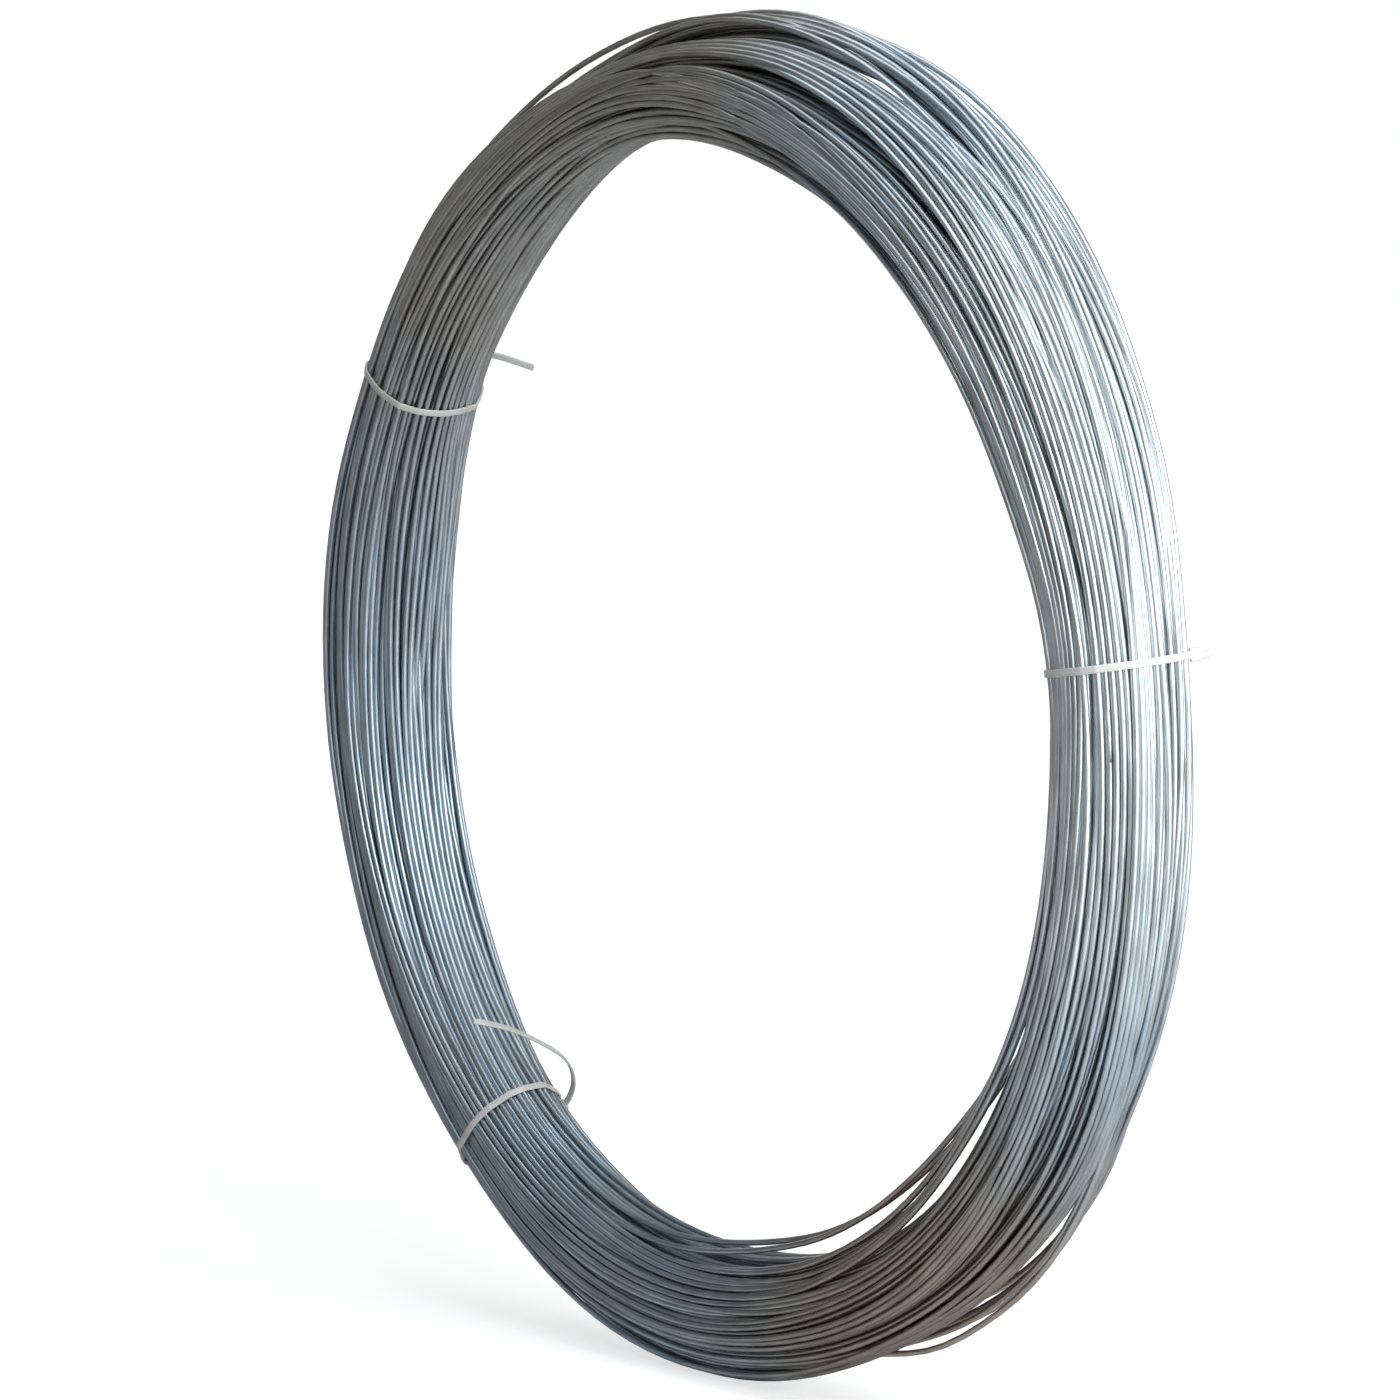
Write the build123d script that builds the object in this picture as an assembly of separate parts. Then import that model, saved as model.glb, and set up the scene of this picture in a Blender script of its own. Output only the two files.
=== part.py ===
from build123d import *
from math import atan2, cos, degrees, radians, sin
import os

# The coil, in millimetres: steel wire wound layer on layer, taken off the former and tied
bore_diameter = 530
section_depth = 65
coil_width = 65
wire_diameter = 3.0
turn_gap = 0.25
groove_width = 1.6
groove_depth = 0.8
flat_share = 0.3
shoulder_facets = 4

# The ties: narrow nylon straps, each moulded in one piece with its locking head
strap_width = 3.6
strap_thickness = 1.2
strap_clearance = 0.3
head_length = 6.6
head_width = 6.2
head_height = 4.8
head_edge_radius = 0.6
window_clearance = 0.3

# The pinch that a pulled tie leaves: how far the strap sinks below the turns beside it,
# the half length of bundle squeezed evenly, and the length in which it swells again
strap_recess = 1.2
pinch_half_length = 6
ease_length = 40

# Room that a cut takes beyond the face it opens
overrun = 2

# How far each tail runs straight out of its head, and the radii of its bends
upper_left_tail_rise = 5
upper_left_tail_bend = 39
right_stub_rise = 15
lower_left_tail_rise = 5
lower_left_tail_kink = 4
lower_left_tail_sweep = 250

# Each tie's angle round the coil in degrees, from the right and upwards, the shoulder and facet
# that its head sits on, and its tail: the straight rise, then bends of a radius and a turn
# in degrees, clockwise turns negative
ties = [
    ("cable_tie_upper_left", 150.6, "outer_back", 0, upper_left_tail_rise, [(upper_left_tail_bend, -56)]),
    ("cable_tie_right", 7.7, "outer_back", 1, right_stub_rise, []),
    (
        "cable_tie_lower_left",
        229.8,
        "inner_back",
        shoulder_facets - 1,
        lower_left_tail_rise,
        [(lower_left_tail_kink, -123), (lower_left_tail_sweep, -26)],
    ),
]

# Sizes that follow: the wound section is a square whose layers step back into broad shoulders
shoulders = ["outer_front", "inner_front", "inner_back", "outer_back"]
mean_radius = (bore_diameter + section_depth) / 2
turn_pitch = wire_diameter + turn_gap
end_turns = max(1, round(flat_share * section_depth / turn_pitch))
end_band = end_turns * turn_pitch
wall_band = flat_share * coil_width
pinch_depth = strap_recess + strap_thickness + strap_clearance
pinch_angle = degrees(pinch_half_length / mean_radius)
ease_angle = degrees(ease_length / mean_radius)


def squeezed(u, v, squeeze):
    """A point of the section, given from its centre, when the section is drawn in from all four sides."""
    u_share = 1 - 2 * squeeze / section_depth
    v_share = 1 - 2 * squeeze / coil_width
    return Vector(mean_radius + u_share * u, v_share * v)


def shoulder_points(shoulder, squeeze):
    """The corners of one shoulder's facets, in the order of the shoulders round the section."""
    quarter = shoulders.index(shoulder)
    side_u = 1 if shoulder.startswith("outer") else -1
    side_v = 1 if shoulder.endswith("front") else -1
    points = []
    for step in range(shoulder_facets + 1):
        direction = radians(90 * (quarter + step / shoulder_facets))
        u = side_u * end_band / 2 + (section_depth - end_band) / 2 * cos(direction)
        v = side_v * wall_band / 2 + (coil_width - wall_band) / 2 * sin(direction)
        points.append(squeezed(u, v, squeeze))
    return points


def valley_points(end, squeeze):
    """The valleys between neighbouring turns, across the front end or, with -1, the back end."""
    points = []
    for step in range(1, end_turns):
        middle = end_band / 2 - step * turn_pitch
        points.append(squeezed(end * (middle + groove_width / 2), end * coil_width / 2, squeeze))
        points.append(squeezed(end * middle, end * (coil_width / 2 - groove_depth), squeeze))
        points.append(squeezed(end * (middle - groove_width / 2), end * coil_width / 2, squeeze))
    return points


def turned_section(squeeze):
    """The cross-section on the XZ plane, with the turns on both ends in relief."""
    points = shoulder_points("outer_front", squeeze) + valley_points(1, squeeze)
    points += shoulder_points("inner_front", squeeze)
    points += shoulder_points("inner_back", squeeze) + valley_points(-1, squeeze)
    points += shoulder_points("outer_back", squeeze)
    return Plane.XZ * Polygon(*points, align=None)


def wire_coil():
    """All the turns as one ring, drawn in under each tie."""
    loose = turned_section(0)
    tight = turned_section(pinch_depth)
    angles = sorted(tie[1] for tie in ties)
    lengths = []
    for angle, next_angle in zip(angles, angles[1:] + [angles[0] + 360]):
        run_start = angle + pinch_angle + ease_angle
        run_end = next_angle - pinch_angle - ease_angle
        lengths.append(revolve(Rot(Z=run_start) * loose, Axis.Z, run_end - run_start))
        lengths.append(revolve(Rot(Z=angle - pinch_angle) * tight, Axis.Z, 2 * pinch_angle))
        for side in (-1, 1):
            near = Rot(Z=angle + side * pinch_angle) * tight
            far = Rot(Z=angle + side * (pinch_angle + ease_angle)) * loose
            lengths.append(loft([near, far], ruled=True))
    return Part() + lengths


def strap_outline(growth):
    """The line that a strap follows round the squeezed bundle, one distance clear of it."""
    points = []
    for shoulder in shoulders:
        points += shoulder_points(shoulder, pinch_depth)
    return Plane.XZ * offset(Polygon(*points, align=None), growth, kind=Kind.INTERSECTION)


def head_seat(shoulder, facet):
    """The plane of a tie's head: its origin on the strap's inner face, Y square to the facet and outwards."""
    points = shoulder_points(shoulder, pinch_depth)
    middle = (points[facet] + points[facet + 1]) / 2
    along = (points[facet + 1] - points[facet]).normalized()
    out = Vector(along.Y, -along.X)
    spot = middle + out * strap_clearance
    return Plane.XZ * Pos(spot.X, spot.Y) * Rot(Z=degrees(atan2(out.Y, out.X)) - 90)


def cable_tie(shoulder, facet, rise, bends):
    """A closed strap round the bundle, its head, and the tail that leaves through the head's window."""
    band = strap_outline(strap_clearance + strap_thickness) - strap_outline(strap_clearance)
    strap = extrude(band, strap_width / 2, both=True)

    # The head lies along the strap, and its window is square to it
    seat = head_seat(shoulder, facet)
    block = Pos(0, head_height / 2) * Rectangle(head_length, head_height)
    head = extrude(seat * block, head_width / 2, both=True)
    head = fillet(head.edges().filter_by(Axis.Y), head_edge_radius)
    window_height = head_height + overrun - strap_thickness
    window = Pos(0, strap_thickness + window_height / 2) * Rectangle(
        strap_thickness + 2 * window_clearance, window_height
    )
    head -= extrude(seat * window, strap_width / 2 + window_clearance, both=True)

    # The tail rises through the window and bends as it was left
    tail_path = Line((0, strap_thickness / 2), (0, strap_thickness / 2 + rise))
    for radius, turn in bends:
        tail_path += JernArc(tail_path @ 1, tail_path % 1, radius, turn)
    tail = extrude(seat * trace(tail_path, strap_thickness), strap_width / 2, both=True)
    return strap + head + tail


def standing(shape):
    """Turned up from the winding axis to stand on its rim, front end towards -Y."""
    return Rot(X=90) * shape


os.makedirs("parts", exist_ok=True)
export_step(standing(wire_coil()), "parts/wire_coil.step")
for name, angle, shoulder, facet, rise, bends in ties:
    tie = Rot(Z=angle) * cable_tie(shoulder, facet, rise, bends)
    export_step(standing(tie), f"parts/{name}.step")
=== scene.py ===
import math
import bmesh
import bpy
import numpy as np
from mathutils import Matrix, Vector


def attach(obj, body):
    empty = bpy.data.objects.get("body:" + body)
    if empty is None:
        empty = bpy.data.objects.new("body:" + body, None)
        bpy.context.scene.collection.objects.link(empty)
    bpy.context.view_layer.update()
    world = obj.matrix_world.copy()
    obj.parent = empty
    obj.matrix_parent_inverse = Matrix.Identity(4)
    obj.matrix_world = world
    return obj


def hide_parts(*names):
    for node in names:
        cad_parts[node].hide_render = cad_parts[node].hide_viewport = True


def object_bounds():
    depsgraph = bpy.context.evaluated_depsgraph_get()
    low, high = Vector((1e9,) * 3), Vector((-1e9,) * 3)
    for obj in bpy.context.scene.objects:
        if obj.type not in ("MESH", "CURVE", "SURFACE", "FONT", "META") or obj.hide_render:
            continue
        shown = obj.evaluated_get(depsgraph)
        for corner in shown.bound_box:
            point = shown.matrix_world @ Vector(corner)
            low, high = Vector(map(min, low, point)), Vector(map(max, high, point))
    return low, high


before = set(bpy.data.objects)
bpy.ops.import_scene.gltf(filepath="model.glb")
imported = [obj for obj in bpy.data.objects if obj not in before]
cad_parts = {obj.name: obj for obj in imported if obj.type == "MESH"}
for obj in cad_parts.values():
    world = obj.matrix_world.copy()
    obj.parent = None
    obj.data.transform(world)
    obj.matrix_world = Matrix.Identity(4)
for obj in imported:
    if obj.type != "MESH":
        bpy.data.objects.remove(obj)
cad_low, cad_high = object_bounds()

# The coil: one length of steel wire, drawn to 3 mm, dipped in zinc and wound in about 240 turns, layer over
# layer from the bore outwards. Off the drum the turns spring into a rounded bundle, tight at each tie and
# slack between ties, where some turns stray. Lengths here are in millimetres and angles in degrees.
mm = 0.001
wire_diameter = 3.0
wire_radius = wire_diameter / 2
turn_count = 240
ring_radius = 297.5
floor_depth = 330.0
stations = 72
station_angles = np.arange(stations) * 360 / stations
tie_angles = {"upper_left": 150.6, "right": 7.7, "lower_left": 229.8}
dice = np.random.default_rng(240)


def near(angles, middle, reach):
    """1 at the middle angle, falling smoothly to 0 at reach degrees to either side."""
    away = np.abs((np.asarray(angles) - middle + 180) % 360 - 180)
    return np.where(away < reach, np.cos(np.pi / 2 * away / reach) ** 2, 0.0)


# Half the bundle's depth, bore to rim, and half its width, at the wires' middles: drawn in at each tie, fat
# at the upper right, and shallow at the top and the bottom.
slack_half = 30.5
tied_half = 28.2
tie_reach = 17.0
tied = sum(near(station_angles, angle, tie_reach) for angle in tie_angles.values())
swell = 6.5 * near(station_angles, 46, 55)
half_deep = slack_half + swell + 6.0 * near(station_angles, 66, 40) + 4.0 * near(station_angles, 172, 34)
half_deep = half_deep - 7.5 * near(station_angles, 104, 28) + 2.0 * near(station_angles, 262, 32)
half_deep = half_deep - 2.0 * near(station_angles, 212, 36) - 2.5 * near(station_angles, 292, 26)
half_deep = half_deep + 4.5 * near(station_angles, 327, 32)
half_wide = slack_half + swell + 2.5 * near(station_angles, 316, 46)
half_size = np.stack([half_deep, half_wide], 1)
half_size = half_size + (tied_half - half_size) * tied[:, None]
roundness = 2.2 + 0.3 * tied
# The back turns ride higher than the front ones, so the bundle is drawn in across that slant at the top and
# the bottom.
upward = np.sin(np.radians(station_angles))
slant = 0.20 * upward ** 2
slant_way = np.stack([np.sign(upward), np.ones(stations)], 1) / math.sqrt(2)


def off_round(angles):
    """How far the slumped ring lies outside a true circle."""
    slump = 4.0 * np.cos(np.radians(2 * (np.asarray(angles) - 58)))
    sag = 3.5 * near(angles, 220, 75) + 6.5 * near(angles, 326, 38) + 1.5 * near(angles, 306, 30)
    drawn_in = 2.5 * near(angles, 118, 28) + 2.4 * near(angles, 84, 42) + 3.0 * near(angles, 70, 36)
    return slump + sag - drawn_in - 1.4 * near(angles, 280, 30)


# The order of winding: rows of places from the bore to the rim, each row laid back the other way.
row_gap = math.sqrt(2 * math.pi / (math.sqrt(3) * turn_count))
most_rows = 60
places = []
for row in range(most_rows):
    out = -1 + row_gap * (row + 0.5) * math.sqrt(3) / 2
    if out > 1:
        break
    wide = math.sqrt(max(0.0, 1 - out * out))
    across = int(2 * wide / row_gap) + 1
    side = 1 if row % 2 else -1
    for step in range(across):
        places.append((out, side * wide * (2 * (step + 0.5) / across - 1)))
places = np.array(places)
keep = np.linspace(0, len(places) - 1, turn_count + 1)
wound = np.arange(turn_count * stations) / stations
home = np.stack([np.interp(wound, np.arange(turn_count + 1),
                           np.interp(keep, np.arange(len(places)), places[:, axis])) for axis in (0, 1)], 1)


def wander(every, waves, amount):
    """A smooth drift: neighbours within `every` turns move together, in `waves` swings a turn."""
    calming = 0.6
    knots = int(turn_count / every) + 3
    drift = np.zeros((turn_count * stations, 2))
    for wave in range(1, waves + 1):
        for axis in (0, 1):
            for turning in (np.cos, np.sin):
                size = dice.normal(0, 1, knots) / wave ** calming
                drift[:, axis] += np.interp(wound, np.arange(knots) * every, size) * turning(
                    2 * np.pi * wave * wound)
    return amount * drift / drift.std()


looseness = 0.75 + 0.9 * near(station_angles, 75, 70) + 0.7 * near(station_angles, 310, 50)
looseness = np.tile(looseness * (1 - 0.5 * tied), turn_count)
drift = (wander(5, 4, 3.6) + wander(1.5, 5, 1.4)) * looseness[:, None]
aim = home * np.tile(half_size, (turn_count, 1)) + drift
# Both ends of the wire are tucked towards the middle of the bundle.
tuck_length_share = 0.12
tucked_share = 0.25
tuck = np.clip(np.minimum(wound, turn_count - wound) / tuck_length_share, 0, 1)[:, None]
aim = aim * (tucked_share + (1 - tucked_share) * tuck)


def share_of_half(spots):
    """How far out each wire lies in its bundle: 1 at the outermost."""
    across = (spots * slant_way).sum(2) * slant / (1 - slant)
    reach = np.abs(spots + across[:, :, None] * slant_way) / half_size
    return (reach ** roundness[:, None]).sum(2) ** (1 / roundness)


# The turns settle: wires that touch push apart, none leaves the bundle, and each stays a smooth curve. Some
# turns keep a little room to their neighbours, which leaves the dark gaps between groups of wires.
least_gap = 0.04
inner_slack = 1.2
push_share = 0.32
longest_push = 0.9
home_pull = 0.03
stiff_at_first = 0.45
stiff_at_last = 0.2
last_steps = 12
filled_percent = 96
spread_share = 0.4
most_elbow_room = 0.9
tiny = 1e-6
spots = aim.reshape(turn_count, stations, 2).copy()
home_aim = spots.copy()
elbow_room = most_elbow_room * dice.random(turn_count) ** 4
settling_steps = 70
for step in range(settling_steps):
    inward = np.clip(1 - share_of_half(spots), 0, 1)
    room = wire_diameter + least_gap + elbow_room[:, None] + inner_slack * inward
    for station in range(stations):
        here = spots[:, station]
        apart = here[:, None] - here[None]
        distance = np.sqrt((apart ** 2).sum(2)) + tiny
        wanted = (room[:, station][:, None] + room[:, station][None]) / 2
        push = np.clip(wanted - distance, 0, None) / distance
        np.fill_diagonal(push, 0)
        move = push_share * (apart * push[:, :, None]).sum(1)
        size = np.sqrt((move ** 2).sum(1, keepdims=True)) + tiny
        spots[:, station] += move * np.minimum(1, longest_push / size)
    spots += home_pull * (home_aim - spots)
    line = spots.reshape(-1, 2)
    middle = (line[:-2] + line[2:]) / 2
    stiffness = stiff_at_first if step < settling_steps - last_steps else stiff_at_last
    line[1:-1] += stiffness * (middle - line[1:-1])
    filled = np.percentile(share_of_half(spots), filled_percent, axis=0)
    spots *= (1 + spread_share * (1 / filled - 1))[None, :, None]
    spots /= np.maximum(1, share_of_half(spots))[:, :, None]

# The bundle leans forward at the upper right.
spots[:, :, 1] += 3.0 * near(station_angles, 58, 44)

# Slack turns stray from the rim at the top, and from the bore and the rim at the bottom, so that daylight
# shows between them and the rest when the coil is seen from the front right. Each line gives the side, the
# middle angle, the reach, how many turns stray, how far they rise off the rest, and how far that sinks.
rim = 1
bore = -1
strays = [
    (rim, 77, 35, 30, 3.4, 3.2),
    (rim, 94, 34, 20, 2.4, 0.0),
    (rim, 118, 32, 1, 5.0, 0.0),
    (rim, 123, 28, 2, 1.2, 1.0),
    (rim, 54, 31, 1, 4.2, 1.0),
    (bore, 290, 44, 2, 8.0, 0.0),
    (bore, 297, 36, 4, 3.5, 0.0),
    (bore, 310, 28, 8, 3.5, 2.5),
    (rim, 309, 21, 6, 5.5, 3.0),
    (rim, 310, 22, 3, 1.5, 0.0),
    (rim, 268, 26, 6, 1.2, 1.5),
]
camera_back = Vector((0.8032, -0.5849, 0.1136))
pressed_depth = 25.0
for side, angle, reach, together, rise, sink in strays:
    turned = math.radians(angle)
    outward = camera_back.x * math.cos(turned) + camera_back.z * math.sin(turned)
    along = camera_back.z * math.cos(turned) - camera_back.x * math.sin(turned)
    sight_slope = outward / -camera_back.y
    sight_bow = (along / camera_back.y) ** 2 / (2 * ring_radius)
    forward = spots[:, :, 1]
    height = side * (spots[:, :, 0] - sight_slope * forward - sight_bow * forward ** 2)
    held = near(station_angles, angle, reach)
    held = held * (2 - held)
    astray = np.zeros((turn_count, 1), bool)
    astray[np.argsort(-(height * held).sum(1))[:together]] = True
    level = np.sort(height, 0)[-together]
    pressed = sink * np.clip(1 - (level - height) / pressed_depth, 0, 1)
    wanted = np.where(astray, np.maximum(height, level) + rise, np.minimum(height, level) - pressed)
    spots[:, :, 0] += side * held * (wanted - height)

# The floor flattens what would hang below it.
off_centre = off_round(station_angles)
near_floor = 0.3
below = np.clip(-upward, near_floor, None)
lowest = (floor_depth - wire_radius) / below - ring_radius - off_centre
spots[:, :, 0] = np.where(upward < -near_floor, np.minimum(spots[:, :, 0], lowest), spots[:, :, 0])

# Each wire runs along a smooth curve, and the coil is five pieces of 48 turns in the order of winding. Such a
# curve runs a little inside its points, so they are set out by as much, except where the floor holds them.
angles = np.radians(station_angles)
set_out = 1 + (2 * math.pi / stations) ** 2 / 6
radius = (ring_radius + off_centre[None] + spots[:, :, 0]) * set_out
radius = np.where(upward < -near_floor, np.minimum(radius, (floor_depth - wire_radius) / below), radius)
route = np.stack([radius * np.cos(angles), -spots[:, :, 1], radius * np.sin(angles)], 2).reshape(-1, 3) * mm
merge_distance = 0.001 * mm
tone_every = 0.4
tone_knots = dice.normal(0, 1, int(turn_count / tone_every) + 3)


def wire_piece(name, first_turn, turns):
    """A stretch of the wire as a closed mesh, with a map along and round the wire, and a bake map."""
    # The curve starts one point in and ends short of its last points, so neighbouring pieces share a few.
    points_before = 1
    points_after = 3
    start = max(first_turn * stations - points_before, 0)
    end = min((first_turn + turns) * stations + points_after, len(route))
    points = np.ones((end - start, 4), np.float32)
    points[:, :3] = route[start:end]
    curve = bpy.data.curves.new(name, "CURVE")
    curve.dimensions = "3D"
    curve.bevel_depth = wire_radius * mm
    curve.bevel_resolution = 2
    curve.use_fill_caps = True
    spline = curve.splines.new("NURBS")
    spline.points.add(len(points) - 1)
    spline.points.foreach_set("co", points.ravel())
    spline.order_u = 4
    spline.resolution_u = 2
    drawn = bpy.data.objects.new(name + "_line", curve)
    bpy.context.scene.collection.objects.link(drawn)
    bpy.context.view_layer.update()
    mesh = bpy.data.meshes.new_from_object(drawn.evaluated_get(bpy.context.evaluated_depsgraph_get()))
    bpy.data.objects.remove(drawn)
    bpy.data.curves.remove(curve)
    mesh.name = name
    corners = len(mesh.loops)
    flat = np.zeros(corners * 2)
    mesh.uv_layers[0].data.foreach_get("uv", flat)
    along, around = flat.reshape(-1, 2).T
    turn_of_corner = along * turns
    faces = len(mesh.polygons)
    first_corner = np.zeros(faces, int)
    corner_count = np.zeros(faces, int)
    mesh.polygons.foreach_get("loop_start", first_corner)
    mesh.polygons.foreach_get("loop_total", corner_count)
    face_of_corner = np.repeat(np.arange(faces), corner_count)
    face_turn = np.floor(np.add.reduceat(turn_of_corner, first_corner) / corner_count)
    band = np.minimum(face_turn[face_of_corner], turns - 1)
    turn_length = 2 * math.pi * ring_radius * mm
    margin = 0.04
    strip = (band + margin + (1 - 2 * margin) * around) / turns
    maps = {
        "along_wire": np.stack([(first_turn + turn_of_corner) * turn_length, around], 1),
        "OFBake": np.stack([np.clip(turn_of_corner - band, 0, 1), strip], 1),
    }
    mesh.uv_layers[0].name = "along_wire"
    mesh.uv_layers.new(name="OFBake")
    for map_name, values in maps.items():
        mesh.uv_layers[map_name].data.foreach_set("uv", values.ravel())
    tone = mesh.attributes.new("turn_tone", "FLOAT", "CORNER")
    tone_place = (first_turn + turn_of_corner) / tone_every
    tones = np.interp(tone_place, np.arange(len(tone_knots)), tone_knots)
    tone.data.foreach_set("value", tones.astype(np.float32))
    shape = bmesh.new()
    shape.from_mesh(mesh)
    bmesh.ops.remove_doubles(shape, verts=shape.verts, dist=merge_distance)
    shape.to_mesh(mesh)
    shape.free()
    piece = bpy.data.objects.new(name, mesh)
    bpy.context.scene.collection.objects.link(piece)
    return piece


def new_material(name):
    made = bpy.data.materials.new(name)
    made.use_nodes = True
    return made, made.node_tree, made.node_tree.nodes["Principled BSDF"]


def add_node(tree, kind, values=None, **settings):
    """A node in a tree, with its settings and the values of its sockets by name or number."""
    node = tree.nodes.new("ShaderNode" + kind)
    for setting, value in settings.items():
        setattr(node, setting, value)
    for socket, value in (values or {}).items():
        node.inputs[socket].default_value = value
    return node


# Marks of handling and storage, which dull the wire and the ties alike: soft blotches, and a fine grain.
handling_marks = bpy.data.node_groups.new("handling marks", "ShaderNodeTree")
handling_marks.interface.new_socket("Scale", in_out="INPUT", socket_type="NodeSocketFloat")
handling_marks.interface.new_socket("Grain Scale", in_out="INPUT", socket_type="NodeSocketFloat")
handling_marks.interface.new_socket("Dulled", in_out="OUTPUT", socket_type="NodeSocketFloat")
handling_marks.interface.new_socket("Grain", in_out="OUTPUT", socket_type="NodeSocketFloat")
given = add_node(handling_marks, "TexCoord")
sizes_in = handling_marks.nodes.new("NodeGroupInput")
marks_out = handling_marks.nodes.new("NodeGroupOutput")
blotch = add_node(handling_marks, "TexNoise", {"Detail": 4.0, "Roughness": 0.55})
grain = add_node(handling_marks, "TexNoise", {"Detail": 2.0})
soften = add_node(handling_marks, "MapRange", {"From Min": 0.33, "From Max": 0.67},
                  interpolation_type="SMOOTHSTEP")
handling_marks.links.new(given.outputs["Object"], blotch.inputs["Vector"])
handling_marks.links.new(given.outputs["Object"], grain.inputs["Vector"])
handling_marks.links.new(sizes_in.outputs["Scale"], blotch.inputs["Scale"])
handling_marks.links.new(sizes_in.outputs["Grain Scale"], grain.inputs["Scale"])
handling_marks.links.new(blotch.outputs["Fac"], soften.inputs["Value"])
handling_marks.links.new(soften.outputs["Result"], marks_out.inputs["Dulled"])
handling_marks.links.new(grain.outputs["Fac"], marks_out.inputs["Grain"])

# The zinc is blue-grey, plain grey at the upper left and brown at the lower right. A patch of much lighter
# zinc round the right of the ring is a painted highlight: it stands in for strong lamp light on that side.
# These tints are read from the photograph, whose light may have a share in them. Drawing and dipping leave
# streaks along the wire.
galvanised, tree, shader = new_material("galvanised wire")
links = tree.links
place = add_node(tree, "TexCoord")
along_wire = add_node(tree, "UVMap", uv_map="along_wire")
tone = add_node(tree, "Attribute", attribute_name="turn_tone")
marks = add_node(tree, "Group", node_tree=handling_marks)
marks.inputs["Scale"].default_value = 9.0
marks.inputs["Grain Scale"].default_value = 900.0

stretch = add_node(tree, "Mapping", {"Scale": (14, 1, 1)})
streak = add_node(tree, "TexNoise", {"Scale": 3.0, "Detail": 4.0})
links.new(along_wire.outputs["UV"], stretch.inputs["Vector"])
links.new(stretch.outputs["Vector"], streak.inputs["Vector"])
blend = add_node(tree, "Math", {1: 0.11}, operation="MULTIPLY_ADD")
links.new(tone.outputs["Fac"], blend.inputs[0])
links.new(streak.outputs["Fac"], blend.inputs[2])
shade = add_node(tree, "MapRange", {"From Min": 0.2, "From Max": 0.8, "To Min": 0.55, "To Max": 1.15})
links.new(blend.outputs["Value"], shade.inputs["Value"])


def patch_round(tree, place, centre, inner, outer, most):
    """A soft patch: its full strength within the inner radius of a centre, none beyond the outer one."""
    away = add_node(tree, "VectorMath", {1: centre}, operation="DISTANCE")
    tree.links.new(place.outputs["Object"], away.inputs[0])
    patch = add_node(tree, "MapRange", {"From Min": inner, "From Max": outer, "To Min": most, "To Max": 0.0},
                     interpolation_type="SMOOTHSTEP")
    tree.links.new(away.outputs["Value"], patch.inputs["Value"])
    return patch.outputs["Result"]


# The places of a colour mix's sockets.
mix_share = 0
mix_first = 6
mix_second = 7
mix_result = 2
# A plain grey patch at the upper left; the blotches of handling mix the same grey in all over.
grey_upper_left = patch_round(tree, place, (-0.12, 0, 0.28), 0.12, 0.27, 0.95)
patchy = add_node(tree, "Math", {1: 0.30}, operation="MULTIPLY_ADD", use_clamp=True)
links.new(marks.outputs["Dulled"], patchy.inputs[0])
links.new(grey_upper_left, patchy.inputs[2])
zinc = add_node(tree, "Mix", data_type="RGBA")
zinc.inputs[mix_first].default_value = (0.58, 0.70, 0.80, 1)
zinc.inputs[mix_second].default_value = (0.61, 0.60, 0.585, 1)
links.new(patchy.outputs["Value"], zinc.inputs[mix_share])
# Painted highlight: round the right of the ring the zinc is mixed towards near white, in place of lamp light
# there.
painted_highlight_patch = patch_round(tree, place, (0.29, 0, 0.07), 0.13, 0.25, 0.95)
painted_highlight_mix = add_node(tree, "Mix", data_type="RGBA")
painted_highlight_mix.inputs[mix_second].default_value = (0.88, 0.95, 0.98, 1)
links.new(painted_highlight_patch, painted_highlight_mix.inputs[mix_share])
links.new(zinc.outputs[mix_result], painted_highlight_mix.inputs[mix_first])
# The zinc turns brown towards the lower right of the ring.
brown_lower_right = patch_round(tree, place, (0.16, 0, -0.28), 0.05, 0.22, 0.85)
coloured = add_node(tree, "Mix", data_type="RGBA")
coloured.inputs[mix_second].default_value = (0.47, 0.385, 0.31, 1)
links.new(brown_lower_right, coloured.inputs[mix_share])
links.new(painted_highlight_mix.outputs[mix_result], coloured.inputs[mix_first])
streaked = add_node(tree, "VectorMath", operation="SCALE")
links.new(coloured.outputs[mix_result], streaked.inputs[0])
links.new(shade.outputs["Result"], streaked.inputs["Scale"])
links.new(streaked.outputs["Vector"], shader.inputs["Base Color"])

dull = add_node(tree, "MapRange", {"To Min": 0.31, "To Max": 0.46})
links.new(marks.outputs["Dulled"], dull.inputs["Value"])
links.new(dull.outputs["Result"], shader.inputs["Roughness"])
surface = add_node(tree, "Bump", {"Strength": 0.1, "Distance": 0.0001})
links.new(streak.outputs["Fac"], surface.inputs["Height"])
links.new(surface.outputs["Normal"], shader.inputs["Normal"])
shader.inputs["Metallic"].default_value = 1.0

pieces_of_wire = 5
turns_each = turn_count // pieces_of_wire
for number in range(pieces_of_wire):
    turns = wire_piece(f"wire_turns_{number + 1}", number * turns_each, turns_each)
    turns.data.materials.clear()
    turns.data.materials.append(galvanised)
    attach(turns, "root")
    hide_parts("wire_coil")

# The three cable ties: white nylon, each moulded in one piece with its locking head, pulled tight round the
# bundle by hand. One tail is cut to a stub, one is cut long behind the coil, and one curls uncut through the
# bore.
strap_width = 3.6
strap_thickness = 1.2
strap_points = 36
head_length = 6.6
head_height = 4.8
head_width = 6.2
head_edge_radius = 0.8
window_wall = 1.3
window_taper = 0.15
window_depth = 1.6
sharp_edge_angle = 40


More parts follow.
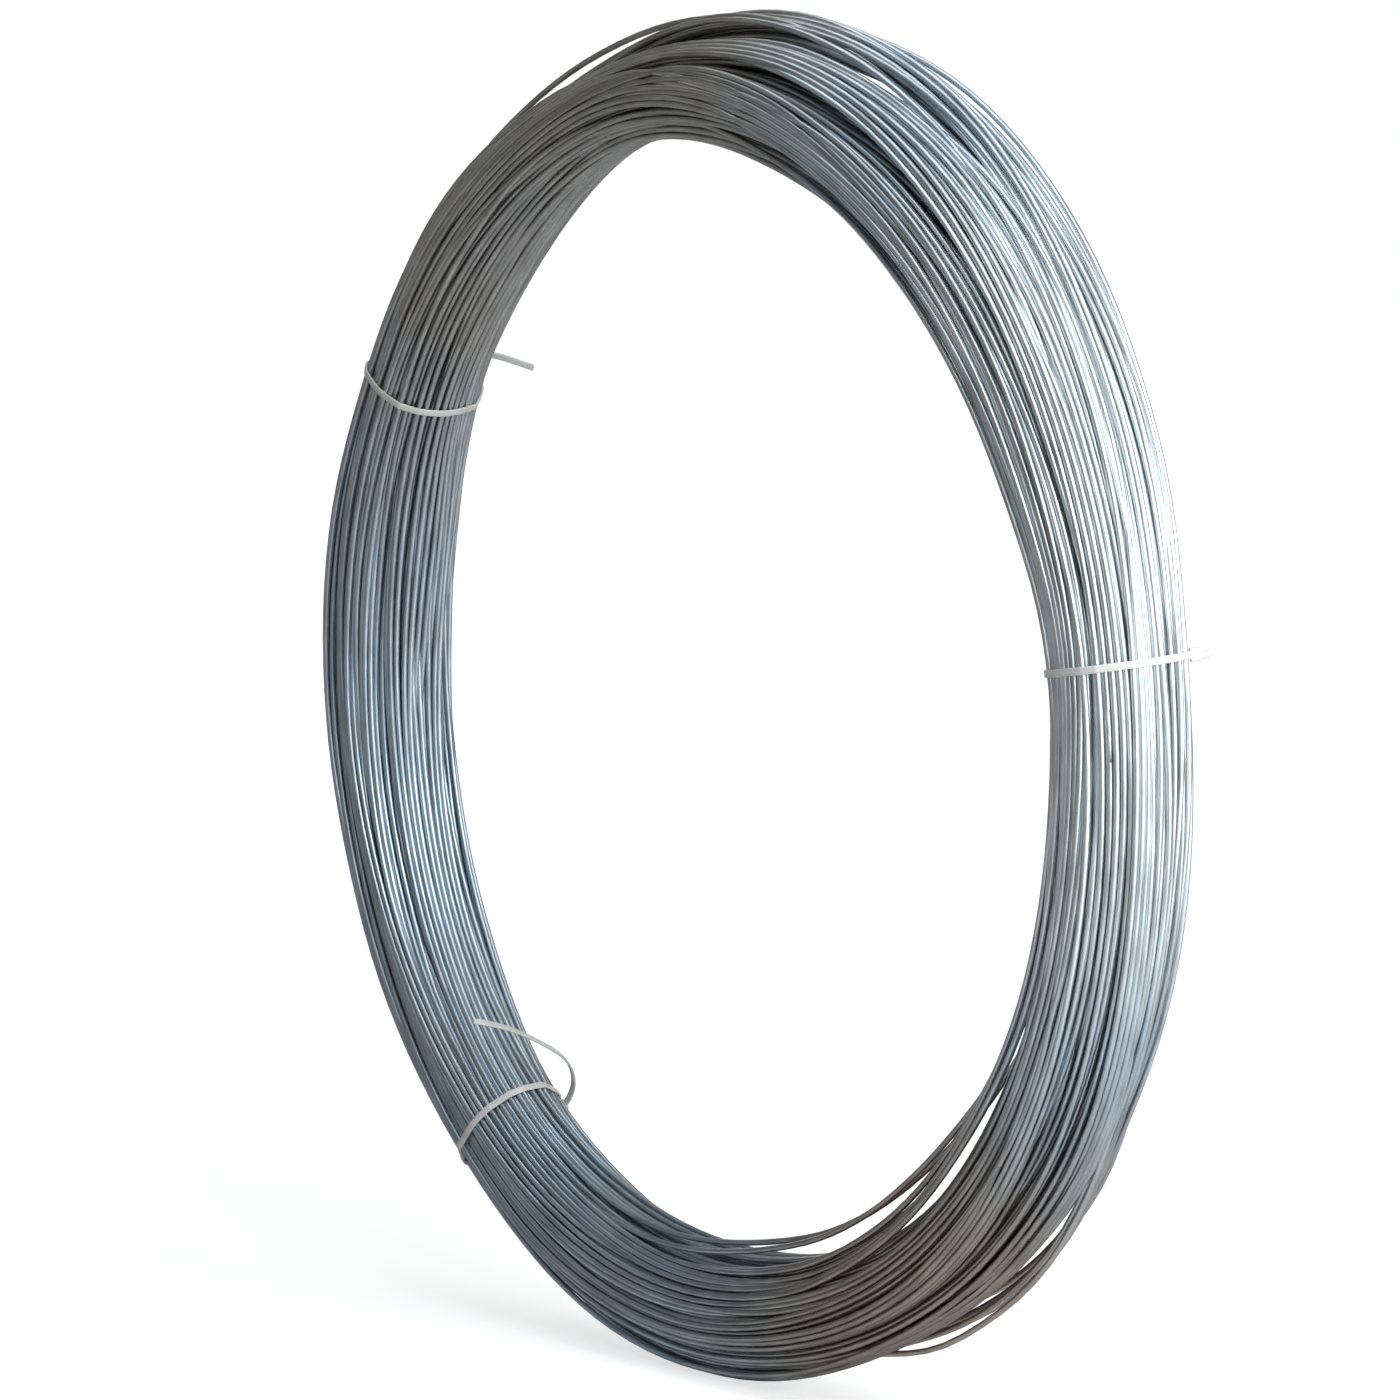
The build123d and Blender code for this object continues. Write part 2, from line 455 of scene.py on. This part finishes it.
def wires_at(angle):
    """Where the turns cross an angle round the ring, outward and forward of the bundle's middle."""
    line = spots.reshape(-1, 2)
    knot, part = divmod(angle * stations / 360, 1)
    knots = np.arange(1, turn_count - 1) * stations + int(knot)
    weights = ((1 - part) ** 3, 3 * part ** 3 - 6 * part ** 2 + 4,
               -3 * part ** 3 + 3 * part ** 2 + 3 * part + 1, part ** 3)
    return sum(weight * line[knots + step] for step, weight in zip((-1, 0, 1, 2), weights)) / 6


def strap_round(side):
    """The line of a taut strap: round the outermost wires at its angle, as a band stretched over them."""
    wires = wires_at(tie_angles[side])
    points = []
    for step in range(strap_points):
        turned = math.radians(360 / strap_points * step)
        facing = np.array([math.cos(turned), math.sin(turned)])
        outermost = wires[np.argmax(wires @ facing)]
        spot = outermost + facing * (wire_radius + strap_thickness / 2)
        points.append((spot[0], spot[1], 0.0))
    return points


def strap_run(points, closed):
    """A length of strap with rounded edges along points given outward, forward and down the wire."""
    curve = bpy.data.curves.new("strap", "CURVE")
    curve.dimensions = "3D"
    curve.twist_mode = "Z_UP"
    curve.extrude = (strap_width - strap_thickness) / 2 * mm
    curve.bevel_depth = strap_thickness / 2 * mm
    curve.bevel_resolution = 2
    curve.use_fill_caps = True
    spline = curve.splines.new("NURBS")
    spline.points.add(len(points) - 1)
    for spot, point in zip(spline.points, points):
        spot.co = (point[0] * mm, point[1] * mm, point[2] * mm, 1)
    spline.order_u = 4
    spline.use_cyclic_u = closed
    spline.use_endpoint_u = not closed
    spline.resolution_u = 8
    drawn = bpy.data.objects.new("strap_line", curve)
    bpy.context.scene.collection.objects.link(drawn)
    bpy.context.view_layer.update()
    mesh = bpy.data.meshes.new_from_object(drawn.evaluated_get(bpy.context.evaluated_depsgraph_get()))
    bpy.data.objects.remove(drawn)
    bpy.data.curves.remove(curve)
    return mesh


def locking_head(spot, out):
    """The head: a small block on the strap, its edges rounded, its window sunk where the tail comes out."""
    shape = bmesh.new()
    bmesh.ops.create_cube(shape, size=1)
    bmesh.ops.scale(shape, verts=shape.verts, vec=(head_length * mm, head_height * mm, head_width * mm))
    top = [face for face in shape.faces if face.normal.y > 0.9]
    bmesh.ops.inset_region(shape, faces=top, thickness=window_wall * mm, depth=0)
    bmesh.ops.inset_region(shape, faces=top, thickness=window_taper * mm, depth=-window_depth * mm)
    upright = [edge for edge in shape.edges
               if abs(edge.verts[0].co.y - edge.verts[1].co.y) > 0.9 * head_height * mm]
    bmesh.ops.bevel(shape, geom=upright, offset=head_edge_radius * mm, affect="EDGES", segments=3,
                    profile=0.5, material=-1)
    facing = math.atan2(out[1], out[0]) - math.pi / 2
    bmesh.ops.rotate(shape, verts=shape.verts, matrix=Matrix.Rotation(facing, 3, "Z"))
    rise = head_height / 2 - strap_thickness / 2
    bmesh.ops.translate(shape, verts=shape.verts, vec=(
        (spot[0] + out[0] * rise) * mm, (spot[1] + out[1] * rise) * mm, 0))
    mesh = bpy.data.meshes.new("head")
    shape.to_mesh(mesh)
    shape.free()
    return mesh


nylon, tree, shader = new_material("white nylon")
links = tree.links
marks = add_node(tree, "Group", node_tree=handling_marks)
marks.inputs["Scale"].default_value = 70.0
marks.inputs["Grain Scale"].default_value = 2600.0
milky = add_node(tree, "ValToRGB")
milky.color_ramp.elements[0].color = (0.68, 0.68, 0.65, 1)
milky.color_ramp.elements[1].color = (0.58, 0.58, 0.55, 1)
links.new(marks.outputs["Dulled"], milky.inputs["Fac"])
links.new(milky.outputs["Color"], shader.inputs["Base Color"])
scuffed = add_node(tree, "MapRange", {"To Min": 0.34, "To Max": 0.56})
links.new(marks.outputs["Dulled"], scuffed.inputs["Value"])
links.new(scuffed.outputs["Result"], shader.inputs["Roughness"])
surface = add_node(tree, "Bump", {"Strength": 0.2, "Distance": 0.0002})
links.new(marks.outputs["Grain"], surface.inputs["Height"])
links.new(surface.outputs["Normal"], shader.inputs["Normal"])


def cable_tie(side, lean, head_spot, head_out, tail):
    """A tie at its angle round the ring, its strap leaning a little along the wires."""
    angle = math.radians(tie_angles[side])
    outward = Vector((math.cos(angle), 0, math.sin(angle)))
    forward = Vector((0, -1, 0))
    down_wire = outward.cross(forward)
    middle = outward * (ring_radius + float(off_round(tie_angles[side]))) * mm
    stand = Matrix((outward, forward, down_wire)).transposed().to_4x4()
    stand = Matrix.Translation(middle) @ stand @ Matrix.Rotation(math.radians(lean), 4, "X")
    strap = strap_run(strap_round(side), True)
    head = locking_head(head_spot, head_out)
    free_end = strap_run(tail, False)
    whole = bmesh.new()
    for part in (strap, head, free_end):
        whole.from_mesh(part)
        bpy.data.meshes.remove(part)
    bmesh.ops.remove_doubles(whole, verts=whole.verts, dist=merge_distance)
    bmesh.ops.transform(whole, matrix=stand, verts=whole.verts)
    bmesh.ops.recalc_face_normals(whole, faces=whole.faces)
    mesh = bpy.data.meshes.new("tie_" + side)
    whole.to_mesh(mesh)
    whole.free()
    mesh.shade_smooth()
    mesh.set_sharp_from_angle(angle=math.radians(sharp_edge_angle))
    mesh.materials.append(nylon)
    piece = bpy.data.objects.new("tie_" + side, mesh)
    bpy.context.scene.collection.objects.link(piece)
    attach(piece, "root")
    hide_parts("cable_tie_" + side)


cable_tie("upper_left", -3.2, (12.9, -29.6), (0.197, -0.980), [
    (12.9, -29.6, 0), (13.6, -36, 1), (12.5, -42, 4.5), (7, -48, 5.6), (1, -55, 5), (-5, -62.5, 4)])
cable_tie("right", 2.1, (20.3, -26.0), (0.553, -0.833), [
    (20.3, -26.0, 0), (21.8, -28.3, 0.5), (23.2, -30.4, 1), (24.4, -32.2, 0.3), (25.4, -33.6, -0.5)])
cable_tie("lower_left", -5.5, (-3.0, -30.6), (-0.030, -1.0), [
    (-3, -30.6, 0), (-3.6, -34.6, 0), (-12, -36, 0.2), (-24, -33, 0.8), (-37, -25, 2.4), (-47, -13.5, 4.2),
    (-55.5, 0, 6), (-64, 13.5, 7.4), (-67.5, 25.8, 13.6), (-64.6, 36.2, 21.8)])

# The floor and the studio: a plain white floor that keeps the coil's shadow, a white backdrop behind the
# coil, and a room that is dim on the left and light on the right, with soft lamps at the side, the front
# and the top. Lengths here are in metres.
floor_radius = 8.0
floor_mesh = bpy.data.meshes.new("floor")
shape = bmesh.new()
bmesh.ops.create_circle(shape, cap_ends=True, segments=64, radius=floor_radius)
bmesh.ops.translate(shape, verts=shape.verts, vec=(0, 0, cad_low[2]))
shape.to_mesh(floor_mesh)
shape.free()
floor = bpy.data.objects.new("floor", floor_mesh)
bpy.context.scene.collection.objects.link(floor)


def background_rays(tree, backdrop):
    """1 for rays that show the background: from the camera, and off metal or through glass towards it."""
    path = add_node(tree, "LightPath")
    mirrored = add_node(tree, "Math", operation="ADD")
    tree.links.new(path.outputs["Is Glossy Ray"], mirrored.inputs[0])
    tree.links.new(path.outputs["Is Transmission Ray"], mirrored.inputs[1])
    total = add_node(tree, "Math", operation="MULTIPLY_ADD", use_clamp=True)
    tree.links.new(mirrored.outputs["Value"], total.inputs[0])
    tree.links.new(backdrop, total.inputs[1])
    tree.links.new(path.outputs["Is Camera Ray"], total.inputs[2])
    return total.outputs["Value"]


white_floor, tree, shader = new_material("white floor")
links = tree.links
shader.inputs["Base Color"].default_value = (0.70, 0.70, 0.70, 1)
shader.inputs["Roughness"].default_value = 0.9
shader.inputs["Specular IOR Level"].default_value = 0.0
shader.inputs["Emission Color"].default_value = (1, 1, 1, 1)
place = add_node(tree, "TexCoord")
distance = add_node(tree, "VectorMath", operation="LENGTH")
links.new(place.outputs["Object"], distance.inputs[0])
glow = add_node(tree, "MapRange", {"From Min": 0.5, "From Max": 1.8, "To Min": 0.68, "To Max": 1.0},
                interpolation_type="SMOOTHSTEP")
links.new(distance.outputs["Value"], glow.inputs["Value"])
far_back = add_node(tree, "VectorMath", {1: -camera_back}, operation="DOT_PRODUCT")
links.new(place.outputs["Object"], far_back.inputs[0])
backdrop = add_node(tree, "MapRange", {"From Min": 1.5, "From Max": 3.0})
links.new(far_back.outputs["Value"], backdrop.inputs["Value"])
shown = add_node(tree, "Math", operation="MULTIPLY")
links.new(glow.outputs["Result"], shown.inputs[0])
links.new(background_rays(tree, backdrop.outputs["Result"]), shown.inputs[1])
links.new(shown.outputs["Value"], shader.inputs["Emission Strength"])
floor_mesh.materials.append(white_floor)

world = bpy.data.worlds.new("studio")
bpy.context.scene.world = world
world.use_nodes = True
tree = world.node_tree
links = tree.links
way = add_node(tree, "TexCoord")
room_dim_side = 0.155
room_light_side = 0.24
lightwards = add_node(tree, "VectorMath", {1: (0.95, 0, 0.30)}, operation="DOT_PRODUCT")
links.new(way.outputs["Generated"], lightwards.inputs[0])
room = add_node(tree, "MapRange", {"From Min": -0.95, "From Max": 0.5, "To Min": room_dim_side,
                                   "To Max": room_light_side}, interpolation_type="SMOOTHSTEP")
links.new(lightwards.outputs["Value"], room.inputs["Value"])
behind = add_node(tree, "VectorMath", {1: -camera_back}, operation="DOT_PRODUCT")
links.new(way.outputs["Generated"], behind.inputs[0])
backdrop = add_node(tree, "MapRange", {"From Min": 0.88, "From Max": 0.94})
links.new(behind.outputs["Value"], backdrop.inputs["Value"])
strength = add_node(tree, "Mix", data_type="FLOAT")
strength.inputs["B"].default_value = 1.0
links.new(background_rays(tree, backdrop.outputs["Result"]), strength.inputs["Factor"])
links.new(room.outputs["Result"], strength.inputs["A"])
tree.nodes["Background"].inputs["Color"].default_value = (1, 1, 1, 1)
links.new(strength.outputs["Result"], tree.nodes["Background"].inputs["Strength"])
daylight = (0.95, 0.98, 1.0)


def soft_box(name, towards, distance, wide, tall, watts):
    """A soft lamp that faces the coil from a direction and distance."""
    lamp = bpy.data.lights.new(name, "AREA")
    lamp.shape = "RECTANGLE"
    lamp.size = wide
    lamp.size_y = tall
    lamp.energy = watts
    lamp.color = daylight
    holder = bpy.data.objects.new(name, lamp)
    way = Vector(towards).normalized()
    holder.matrix_world = Matrix.LocRotScale(way * distance, way.to_track_quat("Z", "Y"), None)
    bpy.context.scene.collection.objects.link(holder)


soft_box("side_light", (1.04, 0.12, 0.34), 1.10, 0.9, 1.3, 11)
soft_box("front_light", (1.45, -0.55, 0.50), 1.63, 0.8, 0.8, 6)
soft_box("top_light", (0.14, -0.06, 0.79), 0.80, 0.53, 1.38, 3.5)

# The camera stands at the photograph's viewing angle, right of the coil's axis and a little above its middle.
# The coil's middle lies a few of the picture's pixels to the right of the picture's own and below it.
picture_pixels = 1400
pixels_right = 27.09
pixels_down = 1.73
camera_right = Vector((0.5906, 0.8067, -0.0220))
camera_up = Vector((-0.0787, 0.0848, 0.9933))
camera_distance = 3.0174
lens = bpy.data.cameras.new("camera")
lens.lens = 161.45
lens.sensor_width = 36
lens.shift_x = -pixels_right / picture_pixels
lens.shift_y = pixels_down / picture_pixels
camera = bpy.data.objects.new("camera", lens)
turned = Matrix((camera_right, camera_up, camera_back)).transposed().to_4x4()
camera.matrix_world = Matrix.Translation(camera_back * camera_distance) @ turned
bpy.context.scene.collection.objects.link(camera)
bpy.context.scene.camera = camera
bpy.context.scene.view_settings.view_transform = "Standard"
